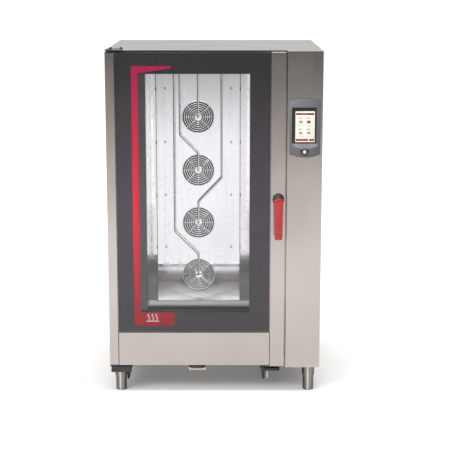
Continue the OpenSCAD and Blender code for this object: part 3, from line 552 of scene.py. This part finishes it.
def flat_ring(centre, radius, wire, thin, mesh):
    """Wire bent into a ring that faces the front. thin is the wire's depth over its height."""
    steps, around = 64, 8
    turn = UP.rotation_difference(FRONT).to_matrix()
    rows = []
    for angle in turns(steps):
        out = Vector((math.cos(angle), math.sin(angle), 0))
        spots = []
        for tilt in turns(around):
            aside = out * (radius + wire * math.cos(tilt))
            spots.append(Vector(centre) + turn @ (aside + UP * wire * thin * math.sin(tilt)))
        rows.append([mesh.verts.new(spot) for spot in spots])
    for i, low in enumerate(rows):
        high = rows[(i + 1) % steps]
        for j, corner in enumerate(low):
            k = (j + 1) % around
            mesh.faces.new((corner, low[k], high[k], high[j]))
    return smooth(mesh)


def rod(start, end, radius, mesh, steps=10):
    way = Vector(end) - Vector(start)
    return lathe(start, way, [(radius, 0), (radius, way.length)], steps, mesh)


# ---------- CAD nodes: finishes and rounded edges ----------

EDGES = {  # width of the rounding, in millimetres
    "column_front": 1.6, "door_handle_stile": 1.6, "door_hinge_stile": 1.6, "door_kick_panel": 1.4,
    "top_panel": 0.9, "left_side_panel": 0.9, "right_side_panel": 0.9, "outer_glass": 0.9,
    "control_bezel": 2.2, "upper_hinge_plate": 0.8, "lower_hinge_bracket": 0.8, "drip_spout": 0.8,
    "trolley_guides": 0.8, "guide_pins": 0.8, "latch_keeper": 0.6, "foot_sleeves": 0.6,
    "fan_cover": 0.5, "inner_glass": 0.8, "inner_glass_rails": 0.5, "door_light_bar": 2,
    "handle_latch": 1.2, "base_frame": 1, "electrical_plate": 0.5, "contactors": 1.5,
    "fan_motors": 1.5, "cable_gland": 0.8, "water_inlet_valve": 1,
}

OWN_FINISH = {
    "cavity_floor": pan_steel, "cavity_back_wall": wall_steel, "fan_cover": mirror_steel,
    "water_pipes": water_tube, "heating_elements": stain_and_shade_steel, "inner_glass_rails": rail_steel,
    "door_kick_panel": level_steel, "top_panel": level_steel, "drip_spout": level_steel,
    "foot_sleeves": leg_steel,
    **{f"foot_leg_{end}_{side}": leg_steel for end in ("front", "rear") for side in ("left", "right")},
    **{f"fan_wheel_{i}": fan_steel for i in FANS},
}

for name, thing in frame["nodes"].items():
    thing.data.materials.clear()
    thing.data.materials.append(OWN_FINISH.get(name) or MATERIALS[SLOTS[name]])
    if name in EDGES:
        weld = thing.modifiers.new("weld", "WELD")
        weld.merge_threshold = 0.00001
        round_edges(thing, EDGES[name] * MM)


# ---------- handle ----------


def rounded_square(angle, half_x, half_y):
    """Point of an outline around the origin that lies between an ellipse and a rectangle."""
    squareness = 3.2
    c, s = math.cos(angle), math.sin(angle)
    return (math.copysign(abs(c) ** (2 / squareness), c) * half_x,
        math.copysign(abs(s) ** (2 / squareness), s) * half_y)


def handle_lever():
    """Flat grip with a domed head and a rounded foot, narrower towards its tip, on a turned neck."""
    low, high = (Vector(corner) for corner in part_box("handle_lever"))
    middle_x, length = (low.x + high.x) / 2, high.z - low.z
    thickness, bow = 0.020, 0.002
    dome, foot = 0.013, 0.006
    thin_share, head_slope, foot_slope = 0.35, 0.012, 0.007
    head_half, tip_half, least_half = (high.x - low.x) / 2, 0.021, 0.0015
    narrowing = 1.15
    rows, around = 44, 28
    rings = []
    for row in range(rows + 1):
        eased = (1 - math.cos(math.pi * row / rows)) / 2
        down = length * eased
        up = length - down
        half = head_half + (tip_half - head_half) * min(1, down / length * narrowing)
        if down < dome:
            half *= math.sqrt(max(0.0, 1 - (1 - down / dome) ** 2))
        if up < foot:
            half += math.sqrt(max(0.0, foot**2 - (foot - up) ** 2)) - foot
        half = max(half, least_half)
        fullness = min(down / head_slope, up / foot_slope, 1)
        depth = thickness / 2 * (thin_share + (1 - thin_share) * fullness)
        middle_y = low.y + thickness / 2 + bow * math.sin(math.pi * down / length)
        points = [rounded_square(angle, half, depth) for angle in turns(around)]
        rings.append([(middle_x + px, middle_y + py, high.z - down) for px, py in points])
    lever = piece("lever_grip", loft(rings), "handle", "red_plastic")
    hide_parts("handle_lever")
    latch_low, latch_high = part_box("handle_latch")
    overlap = 0.003
    start = (middle_x, low.y + thickness - overlap, (latch_low[2] + latch_high[2]) / 2)
    reach = high.y - low.y - thickness + overlap
    neck = [(0.002, 0.0), (0.010, 0.0004), (0.0150, 0.003), (0.0165, 0.008), (0.0165, reach - 0.010),
        (0.022, reach - 0.004), (0.030, reach)]
    piece("lever_neck", lathe(start, BACK, neck, 40), "handle", "black_plastic")


handle_lever()


# ---------- control panel ----------


def screen():
    """Black glass with a lit page on it: a header, a footer and four icons with their captions."""
    (x0, y0, z0), (x1, y1, z1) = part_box("screen_glass")
    sheet = prism(round_box((x0, x1), (z0, z1), 0.004), (y0, y1))
    glass = piece("touch_glass", sheet, "casing", "screen_black")
    round_edges(glass, 0.0006)
    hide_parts("screen_glass")
    left, right = x0 + 0.018, x1 - 0.009
    foot, head = z0 + 0.0075, z1 - 0.0195
    width, height = right - left, head - foot
    face = y0 - 0.00005
    layer, sunk = 0.00008, 0.0002

    def tile(name, x, z, corner, material, layers):
        """Lit area. x and z are shares of the page, and corner is a radius in millimetres."""
        outline = round_box((left + x[0] * width, left + x[1] * width),
            (foot + z[0] * height, foot + z[1] * height), corner * MM, 4)
        piece(name, prism(outline, (face - layer * layers, face + sunk)), "casing", "display", material)

    tile("display_page", (0, 1), (0, 1), 1, MATERIALS["display"], 1)
    tile("display_header", (0.03, 0.97), (0.88, 0.945), 1.2, page_brown, 2)
    tile("display_header_field", (0.2, 0.62), (0.89, 0.935), 1, page_red, 3)
    tile("display_footer", (0.03, 0.66), (0.035, 0.105), 1.5, page_red, 2)
    tile("display_footer_key", (0.72, 0.97), (0.035, 0.105), 1.5, page_brown, 2)
    for column, x in enumerate((0.28, 0.69)):
        for row, z in enumerate((0.66, 0.30)):
            place = f"{column}_{row}"
            tone = page_red if place == "1_0" else page_grey
            tile(f"display_icon_{place}", (x - 0.09, x + 0.09), (z - 0.05, z + 0.04), 3, tone, 2)
            tile(f"display_caption_{place}", (x - 0.12, x + 0.06), (z + 0.11, z + 0.13), 0.8,
                page_brown, 2)
            tile(f"display_line_{place}", (x - 0.15, x + 0.15), (z - 0.12, z - 0.11), 0.5, page_rose, 2)


def crescent_pad():
    """Pale pad under the screen, with a bowed lower edge."""
    (screen_x0, _, screen_z0), (screen_x1, _, _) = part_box("screen_glass")
    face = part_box("control_bezel")[0][1]
    left, right, top = screen_x0 + 0.004, screen_x1 + 0.008, screen_z0 - 0.001
    end_height, bow, steps = 0.012, 0.020, 20
    lower = []
    for i in range(steps + 1):
        t = i / steps
        lower.append((left + (right - left) * t, top - end_height - bow * math.sin(math.pi * t)))
    mesh = prism([(right, top), (left, top)] + lower, (face - 0.0004, face + 0.002))
    round_edges(piece("crescent_pad", mesh, "casing", "bezel_plastic", pad_plastic), 0.0004)


def knob():
    """Black cap with a ridged side and a pale disc, a painted highlight in place of its chrome face, in a
    dish of the bezel with a dark well.
    """
    (x0, y0, z0), (x1, y1, z1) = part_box("selector_knob")
    centre = Vector(((x0 + x1) / 2, y1, (z0 + z1) / 2))
    radius, length = (x1 - x0) / 2, y1 - y0
    side, face = radius * 0.93, radius * 0.68
    profile = [(radius * 0.4, 0), (radius * 0.86, 0.0002), (side, 0.0015), (side, length - 0.0065),
        (radius, length - 0.0055), (radius, length - 0.0045), (face + 0.0012, length - 0.0006),
        (face, length - 0.0003), (face - 0.0002, length - 0.0008), (radius * 0.02, length - 0.0008)]
    cap = piece("knob_cap", lathe(centre, FRONT, profile, 64), "knob", "black_plastic")
    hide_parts("selector_knob")
    disc = [(face - 0.0003, length - 0.0009), (face - 0.0003, length - 0.0003), (face - 0.001, length),
        (face * 0.1, length)]
    # the disc's pale colour is a painted highlight on the chrome face
    piece("knob_disc", lathe(centre, FRONT, disc, 48), "knob", "chrome", knob_highlight_face)
    ridges = bmesh.new()
    for angle in turns(36):
        spot = centre + outwards(angle) * radius * 0.945
        rod(spot + FRONT * 0.002, spot + FRONT * (length - 0.006), 0.0006, ridges, 8)
    piece("knob_ridges", ridges, "knob", "black_plastic")
    bezel_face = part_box("control_bezel")[0][1]
    recess, lip, bore, well_side = 0.0238, 0.0180, 0.0064, 0.0160
    dish_floor = bezel_face + 0.006
    dish = [(recess, dish_floor - 0.0002), (recess, bezel_face + 0.0006),
        (recess - 0.0012, bezel_face + 0.0001), (lip + 0.0015, bezel_face + 0.0004),
        (lip, bezel_face + 0.0012), (lip - 0.0004, bezel_face + 0.0024)]
    well = [(lip - 0.0002, bezel_face + 0.0014), (lip - 0.0010, bezel_face + 0.0040),
        (well_side, dish_floor - 0.0006), (bore, dish_floor - 0.0006), (bore, dish_floor - 0.0002)]
    axis_spot = Vector((centre.x, 0, centre.z))
    for name, steps, slot in (("knob_dish", dish, "bezel_plastic"), ("knob_well", well, "black_plastic")):
        mesh = lathe(axis_spot, FRONT, [(r, -y) for r, y in steps], 64, closed=False)
        piece(name, mesh, "casing", slot)


screen()
crescent_pad()
knob()


# ---------- fans, their cover and the window ----------


def grilles():
    """Over each fan, flat rings on spokes with a domed hub in the middle."""
    low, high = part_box("fan_grilles")
    face, outer, inner = low[1], (high[0] - low[0]) / 2, 0.032
    ring_y, spoke_y, hub_y = face + 0.0015, face + 0.0034, face + 0.0035
    ring_wire, spoke_wire, thin = 0.0022, 0.0019, 0.35
    spoke_start, rim = 0.018, 0.004
    rings, spokes = 6, 8
    hub = [(0.0235, 0), (0.0235, 0.0012), (0.0225, 0.0022), (0.006, 0.0030), (0.0005, 0.0031)]
    first = None
    for number in FANS:
        start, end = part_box(f"fan_wheel_{number}")
        centre = Vector(((start[0] + end[0]) / 2, 0, (start[2] + end[2]) / 2))
        mesh = bmesh.new()
        for i in range(rings):
            radius = inner + (outer - rim - inner) * i / (rings - 1)
            flat_ring(centre + BACK * ring_y, radius, ring_wire, thin, mesh)
        spoke_middle = centre + BACK * spoke_y
        for angle in turns(spokes):
            out = outwards(angle)
            rod(spoke_middle + out * spoke_start, spoke_middle + out * (outer - 0.001), spoke_wire, mesh)
        made = piece(f"fan_grille_{number}", mesh, "casing", "polished_steel", wire_steel)
        cap = lathe(centre + BACK * hub_y, FRONT, hub, 40)
        piece(f"fan_grille_hub_{number}", cap, "casing", "chrome", hub_steel)
        first = first or made
    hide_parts("fan_grilles")


def cover_edges():
    """Black strip of painted shade in the gap along each side of the fan cover, and the hooks that hold
    it, one for each fan.
    """
    (x0, y0, z0), (x1, _, z1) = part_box("fan_cover")
    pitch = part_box("fan_wheel_2")[0][2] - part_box("fan_wheel_1")[0][2]
    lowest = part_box("fan_cover_screws")[0][2] + 0.008
    gap_shade, hooks = bmesh.new(), bmesh.new()
    for edge, side in ((x0, -1), (x1, 1)):
        # painted shade: black strips in the gaps in place of their shade
        slab(sorted((edge, edge + side * 0.0035)), (y0 + 0.004, y0 + 0.020), (z0, z1), gap_shade)
        across = sorted((edge - side * 0.001, edge + side * 0.006))
        for i in range(len(FANS)):
            z = lowest + i * pitch
            slab(across, (y0 - 0.003, y0 + 0.012), (z - 0.012, z + 0.008), hooks)
    piece("cover_gap_shade", gap_shade, "casing", "black_metal")
    round_edges(piece("cover_hooks", hooks, "casing", "black_metal"), 0.0008)


def window_seal():
    """Dark strip along the foot of the window."""
    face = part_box("glass_border")[0][1]
    low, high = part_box("inner_glass")
    inset, drop, height = 0.006, 0.016, 0.016
    top = low[2] - drop
    strip = slab((low[0] + inset, high[0] - inset), (face - 0.0003, face + 0.0005), (top - height, top))
    piece("window_seal", strip, "door", "gasket_rubber")


def steam_emblem():
    """Three rising waves over a bar, a plain sign for steam."""
    x0, y0, z0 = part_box("red_trim")[0]
    left, low = x0 + 0.066, z0 + 0.026
    first, pitch, foot = 0.014, 0.022, 0.010
    swing, rise, half_width, steps = 0.0045, 0.034, 0.0028, 14
    mesh = bmesh.new()
    plane = (y0 - 0.0002, y0 + 0.0003)
    for i in range(3):
        middle = []
        for k in range(steps + 1):
            t = k / steps
            x = left + first + pitch * i + swing * math.sin(2 * math.pi * t)
            middle.append((x, low + foot + rise * t))
        outline = [(x - half_width, z) for x, z in middle] + [(x + half_width, z) for x, z in middle[::-1]]
        prism(outline, plane, mesh)
    prism(round_box((left, left + 0.072), (low, low + 0.005), 0.002, 3), plane, mesh)
    piece("steam_emblem", mesh, "door", "red_print", pale_ink)


grilles()
cover_edges()
window_seal()
steam_emblem()


# ---------- screws of the back ----------


def screw_head(spot, mesh):
    """Low domed head with a hexagon socket, on the back of the oven."""
    socket_rim = (0.0028, 0.0021)
    dome = [(0.0058, -0.0003), (0.0058, 0.0004), (0.0048, 0.0015), (0.0030, 0.0021), socket_rim]
    lathe(spot, BACK, dome, 20, mesh, closed=False)
    lathe(spot, BACK, [socket_rim, (0.0026, 0.0004), (0.0004, 0.0004)], 6, mesh, closed=False)


def back_screws():
    """Six heads up each side of the back panel, and two between them at its foot and head."""
    (x0, _, z0), (x1, back, z1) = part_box("back_panel")
    inset, rows = 0.014, 6
    width, height = x1 - x0 - 2 * inset, z1 - z0 - 2 * inset
    mesh = bmesh.new()
    for i in range(rows):
        for x in (x0 + inset, x1 - inset):
            screw_head((x, back, z0 + inset + height * i / (rows - 1)), mesh)
    for i in (1, 2):
        for z in (z0 + inset, z1 - inset):
            screw_head((x0 + inset + width * i / 3, back, z), mesh)
    piece("back_panel_screws", mesh, "casing", "stainless", hub_steel)


back_screws()


# ---------- studio ----------


def floor():
    """Pale ground. Near the oven it glows faintly, painted light that lifts the oven's shadow, and it
    glows more far behind it, to meet the white sky.
    """
    left, right, front, back = -60, 60, -40, 160
    mesh = bmesh.new()
    spots = ((left, front, 0), (right, front, 0), (right, back, 0), (left, back, 0))
    mesh.faces.new([mesh.verts.new(spot) for spot in spots])
    made = new_object("floor", mesh)
    look = Shader("floor")
    speck = look.noise(4, detail=3)
    y = look.part(look.place, "Y")
    tone = look.lay((0.93, 0.93, 0.93), (0.95, 0.95, 0.95), speck, 1, 0.3, 0.7)
    tone = look.lay(tone, (0.0, 0.0, 0.0), y, 0.12, -4.0, -1.5)
    tone = look.lay(tone, (0.05, 0.05, 0.05), y, 1, -8.0, -21.0)
    this_side = look.math("MULTIPLY", look.between(y, 0.10, 0.0, -5.0, -2.0),
        look.between(y, 0.0, 1.0, -21.0, -8.0))
    # painted light: glow in front of and under the oven that lightens its shadow
    shadow_lift = look.math("MULTIPLY", look.between(y, 0.38, 0.12, -0.50, -0.475),
        look.between(y, 0.0, 1.0, -1.0, -0.62))
    far_side = look.between(y, 0.0, 0.45, 1.0, 6.0)
    glow = look.math("ADD", far_side, look.math("ADD", this_side, shadow_lift))
    made.data.materials.append(look.principled(Base_Color=tone, Emission_Color=(1.0, 1.0, 1.0),
        Emission_Strength=glow, Roughness=look.between(speck, 0.55, 0.65)))


def sky():
    """White to the camera. For light it is dim in front, bright behind and brightest overhead."""
    dim, bright, brightest, white = 0.03, 0.66, 1.15, 1.2
    world = bpy.data.worlds.new("studio")
    look = Nodes(world)
    way = look.node("TexCoord").outputs["Generated"]
    around = look.between(look.part(way, "Y"), dim, bright, -0.8, 0.7)
    above = look.between(look.part(way, "Z"), 0.0, 1.0, 0.3, 0.95)
    light = look.node("Background")
    look.put((1.0, 0.985, 0.965), light.inputs["Color"])
    look.put(look.mix_numbers(above, around, brightest), light.inputs["Strength"])
    seen = look.node("Background")
    look.put(white, seen.inputs["Strength"])
    camera_ray = look.node("LightPath").outputs["Is Camera Ray"]
    both = look.mix_shaders(camera_ray, light.outputs[0], seen.outputs[0])
    look.put(both, look.node("OutputWorld").inputs["Surface"])
    scene.world = world


def area_light(name, place, target, size, power):
    """Rectangular light that the camera doesn't see."""
    data = bpy.data.lights.new(name, "AREA")
    data.shape = "RECTANGLE"
    data.size, data.size_y = size
    data.energy = power
    made = bpy.data.objects.new(name, data)
    made.location = place
    made.rotation_euler = (Vector(target) - Vector(place)).to_track_quat("-Z", "Y").to_euler()
    made.visible_camera = False
    scene.collection.objects.link(made)
    return data


def cavity_lights():
    """Soft light just behind the door, weaker towards its top, and small ones at sill and ceiling."""
    light_y, target_y, width = -0.415, 0.2, 0.66
    foot, head = 0.409, 1.80
    sill_foot, sill_head = 0.366, 0.392

    def upright(name, low, high, power):
        z = (low + high) / 2
        return area_light(name, (CAVITY_X, light_y, z), (CAVITY_X, target_y, z),
            (width, high - low), power)

    upright("cavity_sill", sill_foot, sill_head, 0.02)
    look = Nodes(upright("cavity_front", foot, head, 2.8))
    along = look.part(look.node("NewGeometry").outputs["Parametric"], "Y")
    glow = look.node("Emission")
    look.put(look.between(along, 1.0, 0.5, 0.55, 1.0, "SMOOTHSTEP"), glow.inputs["Strength"])
    look.put(glow.outputs[0], look.node("OutputLight").inputs["Surface"])
    area_light("cavity_top", (CAVITY_X, -0.1, head), (CAVITY_X, -0.05, 0.3), (0.45, 0.3), 1.2)


def camera():
    """Stands 7 m in front of the oven's middle and above its roof, and looks slightly down."""
    pitch_down = 11.013
    data = bpy.data.cameras.new("camera")
    data.lens = 97.22
    data.sensor_width = 36
    data.shift_y = -0.05
    made = bpy.data.objects.new("camera", data)
    made.location = (0.058, -7.0, 2.3445)
    made.rotation_euler = (math.radians(90 - pitch_down), 0, 0)
    scene.collection.objects.link(made)
    scene.camera = made


floor()
sky()
area_light("key", (-3.2, -4.2, 4.6), (0, -0.3, 0.9), (3.5, 2.5), 175)
area_light("top", (0.5, 0.5, 5.2), (0, 0, 0), (4.5, 4.5), 200)
cavity_lights()
camera()
scene.view_settings.view_transform = "Standard"
